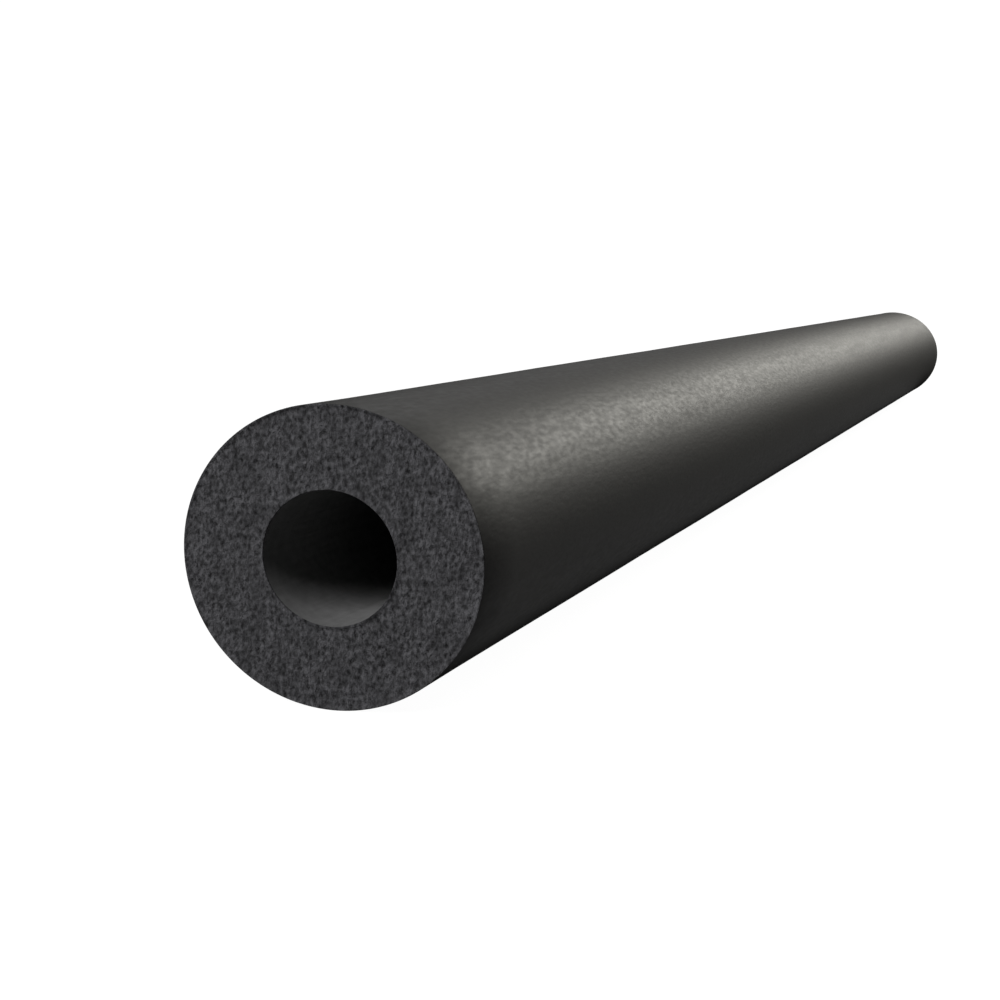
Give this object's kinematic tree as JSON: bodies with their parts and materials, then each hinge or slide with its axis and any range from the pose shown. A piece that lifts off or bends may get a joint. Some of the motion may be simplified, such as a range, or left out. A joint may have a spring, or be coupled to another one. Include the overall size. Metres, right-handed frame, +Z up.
{
  "type": "pipe insulation tube",
  "caption": "Straight length of black closed-cell elastomeric foam tube with a thick wall and an open round bore, slipped over a pipe to insulate it.",
  "frame": {"origin": "on the floor, under the middle of the tube: the centre of the underside of its bounding box", "axes": "+X along the tube, from the end shown nearest in the picture to the far end; +Y across it; +Z up. The tube lies on its side on the floor"},
  "size_m": [1, 0.0708, 0.0661],
  "materials": {
    "elastomeric_foam": "black closed-cell rubber foam: satin extruded skin outside and in the bore, matt open-cell grain on the two cut ends"
  },
  "bodies": {
    "root": {"insulation_tube": "elastomeric_foam"}
  },
  "joints": []
}
